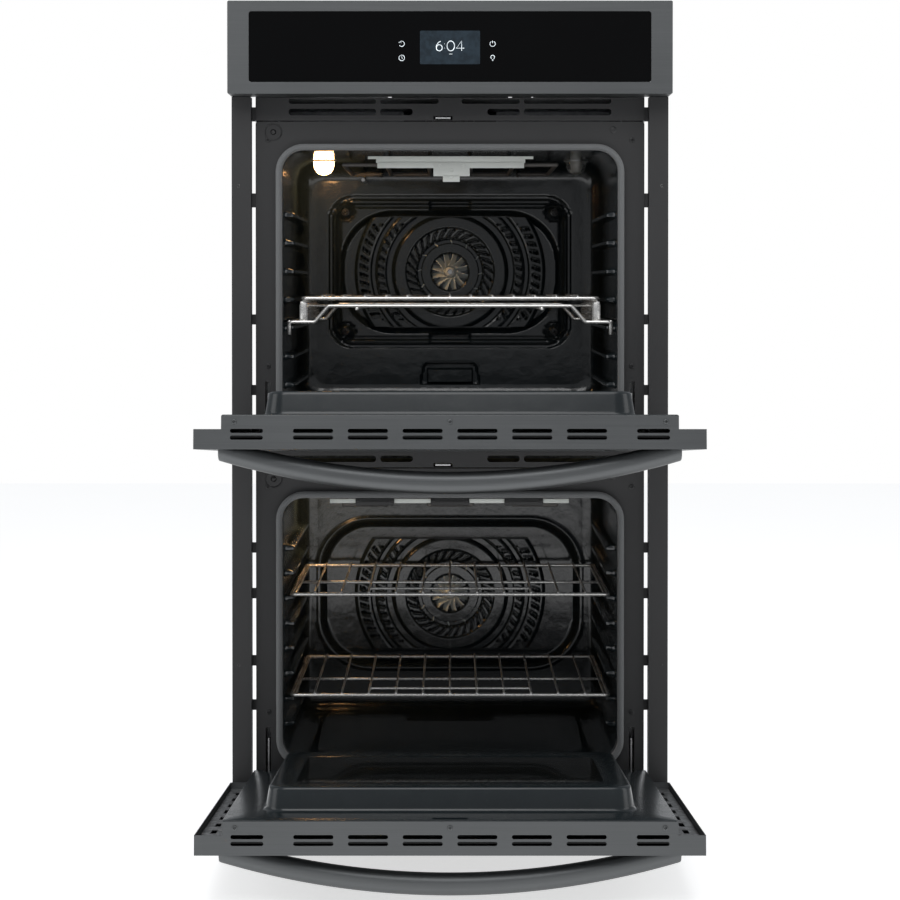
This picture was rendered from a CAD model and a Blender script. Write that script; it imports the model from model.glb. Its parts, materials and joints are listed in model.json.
"""Looks of a built-in double wall oven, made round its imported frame.

Metres, +Z up, and the oven faces -Y with both doors open. Each operator makes one piece, or a
group of like pieces, and main() runs them in order.
"""
import json
import math

import bmesh
import bpy
from bpy.props import FloatProperty, FloatVectorProperty, IntProperty, PointerProperty
from mathutils import Matrix, Vector


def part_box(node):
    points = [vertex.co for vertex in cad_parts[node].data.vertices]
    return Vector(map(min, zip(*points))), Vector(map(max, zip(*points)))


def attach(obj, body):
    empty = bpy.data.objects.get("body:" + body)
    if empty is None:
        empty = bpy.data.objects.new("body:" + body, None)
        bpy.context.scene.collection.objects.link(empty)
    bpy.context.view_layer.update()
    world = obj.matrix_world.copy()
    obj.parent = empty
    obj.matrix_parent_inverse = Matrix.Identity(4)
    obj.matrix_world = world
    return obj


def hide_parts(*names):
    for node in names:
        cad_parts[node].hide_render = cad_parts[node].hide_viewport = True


bl_info = {
    "name": "Double wall oven",
    "version": (1, 0, 0),
    "blender": (4, 5, 0),
    "location": "3D View > Sidebar > Oven",
    "description": "Makes the shells, racks, fittings and finishes of a double wall oven",
    "category": "Object",
}

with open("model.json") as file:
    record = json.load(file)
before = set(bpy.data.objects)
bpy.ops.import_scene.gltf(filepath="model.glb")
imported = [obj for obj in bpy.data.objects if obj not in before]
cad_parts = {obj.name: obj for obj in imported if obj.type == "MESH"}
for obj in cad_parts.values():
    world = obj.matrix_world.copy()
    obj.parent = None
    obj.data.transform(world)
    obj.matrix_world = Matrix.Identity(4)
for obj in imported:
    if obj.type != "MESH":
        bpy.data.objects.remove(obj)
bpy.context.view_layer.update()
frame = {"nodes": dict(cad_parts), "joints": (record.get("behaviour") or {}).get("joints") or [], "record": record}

JOINTS = {joint["name"]: joint for joint in frame["joints"]}
OVENS = ("lower", "upper")
PIVOT = {oven: Vector(JOINTS[f"{oven}_door_hinge"]["pos_m"]) for oven in OVENS}
PITCH = PIVOT["upper"].z - PIVOT["lower"].z
BASE = {"lower": 0.0, "upper": PITCH}
OPEN_ANGLE = -math.radians(JOINTS["upper_door_hinge"]["range_deg"][0])
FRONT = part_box("upper_front_frame")[0].y
GLASS_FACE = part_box("control_glass")[0].y
DISPLAY_LOW, DISPLAY_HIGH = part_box("touch_display")


# ---------- sizes and colours that a user would change ----------

def length(name, text, default, low=0.0, high=1.0):
    """A size in metres."""
    return FloatProperty(name=name, description=text, default=default, min=low, max=high,
                         unit="LENGTH", precision=4)


def colour(name, text, default):
    """A colour in linear light."""
    return FloatVectorProperty(name=name, description=text, default=default, size=3, min=0.0,
                               max=1.0, subtype="COLOR")


class OvenSizes(bpy.types.PropertyGroup):
    """Sizes of the pieces that the frame does not give"""
    edge: length("Edge", "Width of the rounded edge on sheet pieces", 0.0006)
    sheet: length("Sheet", "Thickness of the cavity sheet", 0.002)
    mouth_corner: length("Mouth corner", "Corner radius of a cavity's mouth", 0.034)
    rear_bend: length("Rear bend", "Radius between a cavity's walls and its rear", 0.027)
    recess: length("Recess", "Depth of the pressed bay behind a fan cover", 0.013)
    plug_width: length("Plug width", "Width of the raised plug of a door liner", 0.510)
    plug_height: length("Plug height", "Height of the raised plug of a door liner", 0.399)
    plug_corner: length("Plug corner", "Corner radius of that plug", 0.030)
    window_width: length("Window width", "Width of the window in a door liner", 0.408)
    window_height: length("Window height", "Height of the window in a door liner", 0.262)
    wire: length("Frame wire", "Radius of the frame wire of a rack", 0.003)
    cross_wire: length("Cross wire", "Radius of the cross wires of a rack", 0.0018)
    wire_bend: length("Wire bend", "Radius of the bends in a rack's frame", 0.006)
    cross_wires: IntProperty(name="Cross wires", description="Cross wires in a flat rack",
                             default=11, min=3, max=21)
    blades: IntProperty(name="Fan blades", description="Blades on each convection fan",
                        default=12, min=6, max=24)


class OvenColours(bpy.types.PropertyGroup):
    """Colours of the finishes"""
    porcelain: colour("Porcelain", "Glossy enamel inside the ovens", (0.010, 0.0145, 0.017))
    frame_enamel: colour("Frame enamel", "Satin enamel of the frames and trims",
                         (0.020, 0.020, 0.021))
    stainless: colour("Black stainless", "Brushed skin of the doors and the control panel",
                      (0.125, 0.130, 0.133))
    chrome: colour("Chrome", "Rack wire", (0.95, 0.93, 0.89))
    zinc: colour("Zinc", "Galvanised sheet", (0.56, 0.57, 0.58))
    glow: colour("Lamp glow", "Light of the oven lamps", (1.0, 0.60, 0.27))
    numerals: colour("Numerals", "Lit marks on the control panel", (0.75, 0.82, 0.86))


class OvenStage(bpy.types.PropertyGroup):
    """Camera and light"""
    distance: length("Camera distance", "From the oven's middle to the camera", 3.946, 1, 10)
    eye: length("Camera height", "Height of the camera above the floor", 0.845, 0, 3)
    lens: FloatProperty(name="Lens", description="Focal length in millimetres", default=93.4,
                        min=20, max=300)
    tilt: FloatProperty(name="Tilt", description="How far the camera looks down",
                        default=math.radians(0.8), subtype="ANGLE")
    rise: FloatProperty(name="Lens shift", description="Upright shift of the lens",
                        default=-0.147, min=-0.3, max=0.3)
    key: FloatProperty(name="Key light", description="Power of the large front light",
                       default=60.0, min=0, unit="POWER")
    top: FloatProperty(name="Top light", description="Power of the light overhead",
                       default=30.0, min=0, unit="POWER")
    lamp: FloatProperty(name="Oven lamp", description="Power of the lit lamp in each oven",
                        default=0.7, min=0, unit="POWER")


def sizes():
    """The sizes in use."""
    return bpy.context.scene.oven_sizes


def colours():
    """The colours in use."""
    return bpy.context.scene.oven_colours


# ---------- finishes ----------

class Value:
    """A number on its way through a finish, so that finishes can be written as sums."""

    def __init__(self, finish, socket):
        self.finish = finish
        self.socket = socket

    def maths(self, operation, first, second):
        """Adds a Math node."""
        return self.finish.node("ShaderNodeMath", {"operation": operation}, {0: first, 1: second})

    def __add__(self, other):
        return self.maths("ADD", self, other)

    def __radd__(self, other):
        return self.maths("ADD", other, self)

    def __sub__(self, other):
        return self.maths("SUBTRACT", self, other)

    def __rsub__(self, other):
        return self.maths("SUBTRACT", other, self)

    def __mul__(self, other):
        return self.maths("MULTIPLY", self, other)

    def __rmul__(self, other):
        return self.maths("MULTIPLY", other, self)


class Finish:
    """A procedural material while it is put together."""

    def __init__(self, slot):
        self.material = bpy.data.materials.new(f"finish_{slot}")
        self.material.use_nodes = True
        self.nodes = self.material.node_tree.nodes
        self.links = self.material.node_tree.links
        self.nodes.clear()

    def node(self, kind, settings, inputs, output=0):
        """Adds a node, with its settings set first and its sockets next, and returns one output."""
        made = self.nodes.new(kind)
        for name, value in settings.items():
            if name == "stops":
                for stop, (place, tone) in zip(made.color_ramp.elements, value):
                    stop.position = place
                    stop.color = (tone, tone, tone, 1.0)
            else:
                setattr(made, name, value)
        for name, value in inputs.items():
            if isinstance(value, Value):
                self.links.new(value.socket, made.inputs[name])
            else:
                made.inputs[name].default_value = value
        return Value(self, made.outputs[output])

    def place(self, stretch=(1.0, 1.0, 1.0)):
        """Places in the piece, in metres, stretched along each axis."""
        spot = self.node("ShaderNodeTexCoord", {}, {}, "Object")
        return self.node("ShaderNodeMapping", {}, {"Vector": spot, "Scale": stretch})

    def noise(self, scale, stretch=(1.0, 1.0, 1.0), detail=3.0):
        """Soft cloudy noise from 0 to 1."""
        return self.node("ShaderNodeTexNoise", {},
                         {"Vector": self.place(stretch), "Scale": scale, "Detail": detail})

    def stepped(self, value, low, high):
        """Spreads a narrow band of a value over the whole of 0 to 1."""
        return self.node("ShaderNodeValToRGB", {"stops": ((low, 0.0), (high, 1.0))}, {"Fac": value})

    def blend(self, share, first, second):
        """Mixes two colours."""
        return self.node("ShaderNodeMix", {"data_type": "RGBA"},
                         {0: share, 6: (*first, 1.0), 7: (*second, 1.0)}, 2)

    def relief(self, height, depth):
        """Turns a height into a bumped normal."""
        return self.node("ShaderNodeBump", {}, {"Height": height, "Distance": depth,
                                                 "Strength": 1.0})

    def surface(self, sockets):
        """Closes the finish with a Principled shader and returns the material."""
        filled = {name: (*value, 1.0) if isinstance(value, tuple) else value
                  for name, value in sockets.items()}
        shader = self.node("ShaderNodeBsdfPrincipled", {}, filled)
        end = self.nodes.new("ShaderNodeOutputMaterial")
        self.links.new(shader.socket, end.inputs["Surface"])
        return self.material


def shade(tint, factor):
    """A lighter or darker form of a colour."""
    return tuple(min(part * factor, 1.0) for part in tint)


def porcelain_finish(slot, tint, rough, wave, coat):
    """Glossy fired enamel: a slow ripple, fine pits and a few paler specks."""
    finish = Finish(slot)
    ripple = finish.noise(38.0)
    pits = finish.stepped(finish.noise(2600.0, detail=1.0), 0.30, 0.42)
    specks = finish.stepped(finish.noise(1500.0, detail=1.0), 0.70, 0.76)
    return finish.surface({
        "Base Color": finish.blend(specks * 0.35 + ripple * 0.25, tint, shade(tint, 2.0)),
        "Roughness": ripple * 0.10 + specks * 0.10 + rough,
        "IOR": 1.52,
        "Coat Weight": coat,
        "Coat Roughness": 0.06,
        "Normal": finish.relief(ripple + pits * 0.02, wave),
    })


def satin_finish(slot, tint, rough=0.42):
    """Satin enamel or powder coat with a faint orange peel and rubbed patches."""
    finish = Finish(slot)
    peel = finish.noise(900.0, detail=2.0)
    rubbed = finish.noise(9.0, detail=5.0)
    return finish.surface({
        "Base Color": finish.blend(rubbed * 0.5 + peel * 0.2, shade(tint, 0.85), shade(tint, 1.3)),
        "Roughness": rubbed * 0.12 + peel * 0.08 + rough,
        "IOR": 1.5,
        "Normal": finish.relief(peel, 0.00008),
    })


def brushed_finish(slot, tint, along, rough, mark=0.5, metal=1.0):
    """Brushed metal: long fine scratches along one axis, over slow uneven toning."""
    finish = Finish(slot)
    stretch = tuple(6.0 if axis == along else 1300.0 for axis in "XYZ")
    scratches = finish.noise(1.0, stretch, detail=4.0)
    toning = finish.noise(5.0, detail=4.0)
    tone = scratches * mark + toning * 0.3
    return finish.surface({
        "Base Color": finish.blend(tone, shade(tint, 0.72), shade(tint, 1.35)),
        "Metallic": metal,
        "Roughness": scratches * 0.14 + toning * 0.08 + rough,
        "Normal": finish.relief(scratches, 0.00003),
    })


def zinc_finish(slot, tint, dark_beyond=None):
    """Galvanised sheet with its pale spangle, dirtied dark beyond a place in front."""
    finish = Finish(slot)
    flakes = finish.node("ShaderNodeTexVoronoi", {}, {"Vector": finish.place(), "Scale": 130.0},
                         "Color")
    flake = finish.node("ShaderNodeSeparateColor", {}, {"Color": flakes}, "Red")
    dust = finish.noise(14.0, detail=5.0)
    share = flake * 0.7 + dust * 0.3
    if dark_beyond:
        forward = finish.node("ShaderNodeSeparateXYZ", {}, {"Vector": finish.place()}, "Y") * -1.0
        share = share - finish.stepped(forward, dark_beyond - 0.012, dark_beyond) * 2.0
    low = shade(tint, 0.06 if dark_beyond else 0.72)
    return finish.surface({
        "Base Color": finish.blend(share, low, shade(tint, 1.2)),
        "Metallic": 0.95,
        "Roughness": flake * 0.16 + dust * 0.12 + 0.30,
        "Normal": finish.relief(flake, 0.00004),
    })


def glass_finish(slot, tint, clear, index=1.45):
    """Glass: dark and mirror-like where it is printed, or tinted and clear."""
    finish = Finish(slot)
    smear = finish.noise(11.0, detail=6.0)
    return finish.surface({
        "Base Color": finish.blend(smear, tint, shade(tint, 1.4)),
        "Roughness": smear * 0.03 + 0.015,
        "IOR": index,
        "Transmission Weight": clear,
    })


def woven_finish(slot, tint):
    """A knitted glass-fibre sleeve: crossing ribs with loose fibres."""
    finish = Finish(slot)
    across = finish.node("ShaderNodeTexWave", {"bands_direction": "DIAGONAL"},
                         {"Vector": finish.place(), "Scale": 150.0, "Distortion": 2.0}, "Fac")
    back = finish.node("ShaderNodeTexWave", {"bands_direction": "DIAGONAL"},
                       {"Vector": finish.place((-1.0, 1.0, 1.0)), "Scale": 150.0,
                        "Distortion": 2.0}, "Fac")
    fibres = finish.noise(700.0, detail=3.0)
    knit = across * back
    return finish.surface({
        "Base Color": finish.blend(knit * 0.5 + fibres * 0.3, shade(tint, 0.8), shade(tint, 1.25)),
        "Roughness": fibres * 0.15 + 0.78,
        "Sheen Weight": 0.25,
        "Normal": finish.relief(knit + fibres * 0.4, 0.0003),
    })


def wool_finish(slot, tint):
    """Loose mineral wool."""
    finish = Finish(slot)
    clumps = finish.noise(60.0, detail=6.0)
    return finish.surface({
        "Base Color": finish.blend(clumps, shade(tint, 0.6), tint),
        "Roughness": 0.95,
        "Normal": finish.relief(clumps, 0.006),
    })


def heater_finish(slot, tint):
    """A heater's sheath, scaled and tarnished by heat."""
    finish = Finish(slot)
    scale = finish.noise(320.0, detail=6.0)
    heat = finish.noise(12.0, detail=3.0)
    return finish.surface({
        "Base Color": finish.blend(scale * 0.6 + heat * 0.5, shade(tint, 0.6), shade(tint, 2.2)),
        "Metallic": 0.6,
        "Roughness": scale * 0.25 + 0.45,
        "Normal": finish.relief(scale, 0.0002),
    })


def lit_finish(slot, tint, strength):
    """A lit lens or mark, a little brighter in places."""
    finish = Finish(slot)
    cloud = finish.noise(120.0)
    return finish.surface({
        "Base Color": finish.blend(cloud, shade(tint, 0.8), tint),
        "Roughness": cloud * 0.1 + 0.1,
        "Emission Color": finish.blend(finish.stepped(cloud, 0.35, 0.6), shade(tint, 0.3), tint),
        "Emission Strength": strength,
    })


def make_finishes():
    """Makes every finish once, under the name of its slot."""
    tints = colours()
    porcelain = tuple(tints.porcelain)
    enamel = tuple(tints.frame_enamel)
    stainless = tuple(tints.stainless)
    zinc = tuple(tints.zinc)
    chrome = tuple(tints.chrome)
    porcelain_finish("cavity_enamel", porcelain, 0.10, 0.0009, 0.35)
    porcelain_finish("liner_enamel", porcelain, 0.18, 0.0002, 0.0)
    satin_finish("frame_enamel", enamel)
    satin_finish("dark_fitting", shade(enamel, 0.8), 0.32)
    satin_finish("blower_plastic", shade(enamel, 2.0), 0.5)
    satin_finish("control_case", shade(zinc, 0.4), 0.4)
    satin_finish("lamp_socket", (0.62, 0.60, 0.55), 0.5)
    brushed_finish("black_stainless", stainless, "X", 0.34)
    brushed_finish("bright_steel", (0.60, 0.60, 0.60), "Y", 0.26)
    brushed_finish("rack_chrome", chrome, "Y", 0.16, 0.2, 0.8)
    satin_finish("bracket_steel", (0.78, 0.83, 0.76), 0.35)
    zinc_finish("galvanised", zinc)
    zinc_finish("door_zinc", shade(zinc, 0.8), 0.79)
    glass_finish("black_glass", (0.002, 0.002, 0.0022), 0.0, 1.2)
    glass_finish("window_glass", (0.10, 0.11, 0.11), 0.9)
    glass_finish("lamp_glass", (0.85, 0.85, 0.82), 0.9)
    woven_finish("gasket", (0.14, 0.145, 0.148))
    wool_finish("mineral_wool", (0.60, 0.55, 0.38))
    heater_finish("heater", (0.09, 0.085, 0.08))
    lit_finish("display", (0.010, 0.017, 0.024), 0.9)
    lit_finish("numerals", tuple(tints.numerals), 1.0)
    lit_finish("lit_lens", tuple(tints.glow), 20.0)


def finish_of(name):
    """The finish made for a slot."""
    return bpy.data.materials[f"finish_{name}"]


# ---------- ways of making a mesh ----------

def eased(low, high, value):
    """0 up to low, 1 from high, and an even S between."""
    share = min(max((value - low) / (high - low), 0.0), 1.0)
    return share * share * (3.0 - 2.0 * share)


def hump(value, middle, half, slope):
    """1 within half of the middle, easing to 0 over a slope beyond it."""
    return 1.0 - eased(half, half + slope, abs(value - middle))


def outside(x, z, half_x, half_z, corner):
    """How far a place lies outside a rounded rectangle; negative inside it."""
    over_x = abs(x) - half_x + corner
    over_z = abs(z) - half_z + corner
    beyond = math.hypot(max(over_x, 0.0), max(over_z, 0.0))
    return beyond + min(max(over_x, over_z), 0.0) - corner


def in_rounded(u, v, width, height, corner):
    """Carries a place in a square of -1 to 1 into a rounded rectangle."""
    x = u * width / 2
    z = v * height / 2
    over_x = abs(x) - width / 2 + corner
    over_z = abs(z) - height / 2 + corner
    if over_x > 0 and over_z > 0:
        pull = max(over_x, over_z) / math.hypot(over_x, over_z)
        x = math.copysign(width / 2 - corner + over_x * pull, x)
        z = math.copysign(height / 2 - corner + over_z * pull, z)
    return x, z


def square_edge(steps_x, steps_z):
    """Places round the edge of a square of -1 to 1."""
    below = [(2 * step / steps_x - 1, -1.0) for step in range(steps_x)]
    right = [(1.0, 2 * step / steps_z - 1) for step in range(steps_z)]
    return below + right + [(-u, -v) for u, v in below + right]


def rounded_ring(width, height, corner, turns=8):
    """Places round a rounded rectangle, with an arc at each corner."""
    ring = []
    for quarter, (side_x, side_z) in enumerate(((1, -1), (1, 1), (-1, 1), (-1, -1))):
        for step in range(turns + 1):
            angle = (quarter - 1 + step / turns) * math.pi / 2
            ring.append((side_x * (width / 2 - corner) + corner * math.cos(angle),
                         side_z * (height / 2 - corner) + corner * math.sin(angle)))
    return ring


def loft(bm, rings, wrap=False, caps=False):
    """Joins closed rings of places into a skin."""
    made = [[bm.verts.new(place) for place in ring] for ring in rings]
    pairs = list(zip(made, made[1:]))
    if wrap:
        pairs.append((made[-1], made[0]))
    for first, second in pairs:
        for step in range(len(first)):
            after = (step + 1) % len(first)
            bm.faces.new((first[step], first[after], second[after], second[step]))
    if caps:
        bm.faces.new(made[0])
        bm.faces.new(made[-1])


def spin(bm, profile, place, sides=32, press=None):
    """Turns a profile of (radius, height) round an axis; press may change a height."""
    rings = []
    for radius, height in profile:
        ring = []
        for step in range(sides if radius > 0 else 1):
            angle = step / sides * math.tau
            rise = press(radius, angle, height) if press else height
            spot = Vector((radius * math.cos(angle), radius * math.sin(angle), rise))
            ring.append(bm.verts.new(place @ spot))
        rings.append(ring)
    for first, second in zip(rings, rings[1:]):
        for step in range(sides):
            after = (step + 1) % sides
            corners = (first[step % len(first)], first[after % len(first)],
                       second[after % len(second)], second[step % len(second)])
            bm.faces.new(tuple(dict.fromkeys(corners)))


def facing_front(x, y, z):
    """Stands a spun shape at a place with its axis towards -Y."""
    return Matrix.Translation((x, y, z)) @ Matrix.Rotation(math.pi / 2, 4, "X")


def bent(places, radius, closed=False, steps=6):
    """A route through some places, with its corners bent to a radius."""
    places = [Vector(place) for place in places]
    if closed:
        corners = list(zip(places[-1:] + places[:-1], places, places[1:] + places[:1]))
        route = []
    else:
        corners = list(zip(places, places[1:], places[2:]))
        route = [places[0]]
    for before, corner, after in corners:
        back = before - corner
        ahead = after - corner
        reach = min(radius / math.tan(back.angle(ahead) / 2), 0.45 * back.length,
                    0.45 * ahead.length)
        start = corner + back.normalized() * reach
        end = corner + ahead.normalized() * reach
        for step in range(steps + 1):
            share = step / steps
            route.append(start * (1 - share) ** 2 + corner * 2 * share * (1 - share)
                         + end * share ** 2)
    if not closed:
        route.append(places[-1])
    return route


def tube(bm, route, radius, closed=False, sides=12):
    """A round wire along a route; an open one has rounded ends."""
    count = len(route)
    last = count if closed else count - 1
    ahead = [(route[(n + 1) % count] - route[n]).normalized() for n in range(last)]
    if not closed:
        ahead.append(ahead[-1])
    side = ahead[0].orthogonal().normalized()
    rings = []
    for n, spot in enumerate(route):
        behind = ahead[n - 1] if closed or n else ahead[0]
        along = (behind + ahead[n]).normalized()
        side = (side - along * side.dot(along)).normalized()
        other = along.cross(side)
        turns = [step / sides * math.tau for step in range(sides)]
        rings.append([spot + (side * math.cos(turn) + other * math.sin(turn)) * radius
                      for turn in turns])
    if not closed:
        for end, inward in ((0, ahead[0]), (-1, -ahead[-1])):
            spot = route[end]
            whole = rings[end]
            rounds = [[spot + (point - spot) * share + inward * radius * depth for point in whole]
                      for share, depth in ((0.45, 0.0), (0.85, 0.18), (1.0, 0.5))]
            if end == 0:
                rings[0:1] = rounds
            else:
                rings[-1:] = rounds[::-1]
    loft(bm, rings, wrap=closed, caps=not closed)


def block(bm, low, high, edge=0.0005):
    """A box between two corners with rounded edges."""
    low = Vector(low)
    high = Vector(high)
    made = bmesh.ops.create_cube(bm, size=1.0)["verts"]
    for vert in made:
        vert.co = (low + high) / 2 + Vector(a * b for a, b in zip(vert.co, high - low))
    edges = {link for vert in made for link in vert.link_edges}
    bmesh.ops.bevel(bm, geom=list(edges), offset=edge, segments=2, profile=0.5,
                    affect="EDGES", clamp_overlap=True)


def piece(name, bm, body, slot, replaced=(), finish=None, crease=38.0):
    """Turns a mesh into a piece that rides on a body and stands for some nodes."""
    bmesh.ops.recalc_face_normals(bm, faces=bm.faces)
    mesh = bpy.data.meshes.new(name)
    bm.to_mesh(mesh)
    bm.free()
    mesh.materials.append(finish_of(finish or slot))
    mesh.shade_smooth()
    mesh.set_sharp_from_angle(angle=math.radians(crease))
    made = bpy.data.objects.new(name, mesh)
    bpy.context.scene.collection.objects.link(made)
    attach(made, body)
    if replaced:
        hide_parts(*replaced)
    return made


def body_of(node):
    """The body that a node belongs to."""
    groups = frame["record"]["behaviour"]["bodies"]
    return next(body for body, members in groups.items() if node in members)


def slot_of(node):
    """The material slot of a node."""
    parts = frame["record"]["subparts"]
    return next(part["material_slot"] for part in parts if part["node"] == node)


def middle_z(node):
    """Height of a node's middle."""
    low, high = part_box(node)
    return (low.z + high.z) / 2


def eased_copy(node, name, edge):
    """Stands for a sheet node with the same shape and rounded edges."""
    bm = bmesh.new()
    bm.from_mesh(frame["nodes"][node].data)
    bmesh.ops.remove_doubles(bm, verts=bm.verts, dist=0.00001)
    bmesh.ops.dissolve_limit(bm, angle_limit=math.radians(0.6), verts=bm.verts, edges=bm.edges)
    sharp = [link for link in bm.edges
             if len(link.link_faces) == 2 and link.calc_face_angle() > math.radians(30)]
    bmesh.ops.bevel(bm, geom=sharp, offset=edge, segments=2, profile=0.5, affect="EDGES",
                    clamp_overlap=True)
    made = piece(name, bm, body_of(node), slot_of(node), (node,))
    flat = made.modifiers.new("flat_faces", "WEIGHTED_NORMAL")
    flat.keep_sharp = True


def shut_box(node, oven):
    """Corners of a door's node with that door shut."""
    pivot = Matrix.Translation(PIVOT[oven])
    turn = pivot @ Matrix.Rotation(-OPEN_ANGLE, 4, "X") @ pivot.inverted()
    spots = [turn @ vert.co for vert in frame["nodes"][node].data.vertices]
    low = Vector(min(spot[axis] for spot in spots) for axis in range(3))
    high = Vector(max(spot[axis] for spot in spots) for axis in range(3))
    return low, high


def swing_open(bm, oven):
    """Turns a mesh that was made on a shut door to the open door."""
    bmesh.ops.rotate(bm, verts=bm.verts, cent=PIVOT[oven],
                     matrix=Matrix.Rotation(OPEN_ANGLE, 3, "X"))


# ---------- chassis sheets ----------

class OVEN_OT_sheets(bpy.types.Operator):
    """Gives the frames, trims, panels and door skins their rounded edges"""
    bl_idname = "oven.sheets"
    bl_label = "Sheet metal"

    def execute(self, context):
        edge = sizes().edge
        names = {
            "upper_front_frame": "upper_mouth_plate", "lower_front_frame": "lower_mouth_plate",
            "upper_vent_panel": "upper_vent_plate", "lower_vent_panel": "lower_vent_plate",
            "left_side_trim": "left_trim_channel", "right_side_trim": "right_trim_channel",
            "bottom_trim": "lower_grille", "control_bezel": "control_surround",
            "control_glass": "control_pane", "upper_door_skin": "upper_door_shell",
            "lower_door_skin": "lower_door_shell", "upper_latch": "upper_lock_bolt",
            "lower_latch": "lower_lock_bolt", "hinge_arms": "hinge_levers",
        }
        for node, name in names.items():
            eased_copy(node, name, edge)
        return {"FINISHED"}


class OVEN_OT_finishes(bpy.types.Operator):
    """Makes the finishes and puts them on every node of the frame"""
    bl_idname = "oven.finishes"
    bl_label = "Finishes"

    def execute(self, context):
        make_finishes()
        for name, node in frame["nodes"].items():
            node.data.materials.clear()
            door_frame = name.endswith("_door_frame")
            node.data.materials.append(finish_of("door_zinc" if door_frame else slot_of(name)))
        return {"FINISHED"}


# ---------- inside the ovens ----------

# Where the rungs start and end, from a cavity's mouth, and half the clear width between them.
RUNG_START = 0.038
RUNG_END = 0.418
RUNG_CLEAR = 0.247
# Steps round a cavity's wall.
STEPS_X = 150
STEPS_Z = 190
# Pressings in the rears: half width, half height and corner, about the fan's middle.
UPPER_FRAME = (0.214, 0.135, 0.045)
UPPER_BAY = (0.194, 0.109, 0.094)
LOWER_BAY = (0.228, 0.128, 0.088)
# Grooves and ridges that run round the upper frame: rise, place, half width and slope.
FRAME_WAVES = (
    (-0.0045, -0.005, 0.002, 0.003), (0.0035, -0.0125, 0.002, 0.003),
    (-0.003, -0.019, 0.001, 0.003),
)
# How far a rear's flat edge stands forward of the deepest it may be pressed.
REAR_PROUD = 0.001
# Places of the four screw bosses of the upper rear, from the fan's middle.
BOSS_X = 0.184
BOSS_UP = 0.105
# Middle of the pocket low in the upper rear, above its oven's base, and the raised block in it.
POCKET_UP = 0.144
POCKET_BLOCK = (0.041, 0.014, 0.003)
# Rise of a floor's pressing, half its width, its margin in front and behind, and its corner.
FLOOR_RISE = 0.0045
FLOOR_HALF = 0.222
FLOOR_MARGIN = 0.030
FLOOR_CORNER = 0.035


def rung_levels(node):
    """Lowest and highest edge of each rack rung, read off the frame's cavity."""
    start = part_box(node)[0].y + RUNG_START
    levels = sorted({round(vert.co.z, 4) for vert in frame["nodes"][node].data.vertices
                     if abs(vert.co.y - start) < 0.0001})
    return list(zip(levels[0::2], levels[1::2]))


def upper_rear(x, z, fan_z):
    """How far the upper oven's rear is pressed forward: a framed bay with screw bosses."""
    recess = sizes().recess
    frame_edge = outside(x, z - fan_z, *UPPER_FRAME)
    bay = outside(x, z - fan_z, *UPPER_BAY)
    forward = recess + REAR_PROUD
    for rise, place, half, slope in FRAME_WAVES:
        forward += rise * hump(frame_edge, place, half, slope)
    forward -= (recess - 0.002) * (1 - eased(-0.010, 0.0, bay))
    gap = hump(x, 0.0, 0.034, 0.002) * hump(abs(z - fan_z), 0.117, 0.007, 0.002)
    forward -= 0.006 * gap * eased(-0.004, 0.004, bay)
    boss = math.hypot(abs(x) - BOSS_X, abs(z - fan_z) - BOSS_UP)
    forward += 0.003 * hump(boss, 0.0, 0.007, 0.003) - 0.005 * hump(boss, 0.0145, 0.001, 0.003)
    pocket_z = z - BASE["upper"] - POCKET_UP
    pocket = outside(x, pocket_z, 0.051 - 0.22 * pocket_z, 0.021, 0.010)
    block_front = outside(x, pocket_z + 0.003, *POCKET_BLOCK)
    forward -= 0.010 * (1 - eased(-0.004, 0.0, pocket))
    forward += 0.008 * (1 - eased(-0.003, 0.0, block_front))
    return forward


def lower_rear(x, z, fan_z):
    """How far the lower oven's rear is pressed forward: one wide bay behind the fan cover."""
    recess = sizes().recess
    bay = outside(x, z - fan_z, *LOWER_BAY)
    forward = recess + REAR_PROUD
    forward += 0.002 * hump(bay, 0.004, 0.001, 0.004)
    forward -= recess * (1 - eased(-0.012, 0.0, bay))
    return forward


def floor_press(x, depth, long):
    """How far a cavity's floor is pressed up, with a dip at the middle of its rear."""
    pad = outside(x, depth - long / 2, FLOOR_HALF, long / 2 - FLOOR_MARGIN, FLOOR_CORNER)
    dip = hump(x, 0.0, 0.060, 0.020) * eased(long - 0.110, long - 0.080, depth)
    return FLOOR_RISE * (1 - eased(-0.008, 0.0, pad)) * (1 - dip)


def cavity_rear(bm, oven, width, height, corner, mid, rear):
    """A rear wall, pressed in its oven's own way."""
    fan_z = middle_z(f"{oven}_fan_cover")
    press = upper_rear if oven == "upper" else lower_rear
    grid = []
    for across in range(STEPS_X + 1):
        column = []
        for up in range(STEPS_Z + 1):
            x, z = in_rounded(2 * across / STEPS_X - 1, 2 * up / STEPS_Z - 1, width, height,
                              corner)
            column.append(bm.verts.new((x, rear - press(x, mid + z, fan_z), mid + z)))
        grid.append(column)
    for first, second in zip(grid, grid[1:]):
        for up in range(STEPS_Z):
            bm.faces.new((first[up], second[up], second[up + 1], first[up + 1]))


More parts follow.
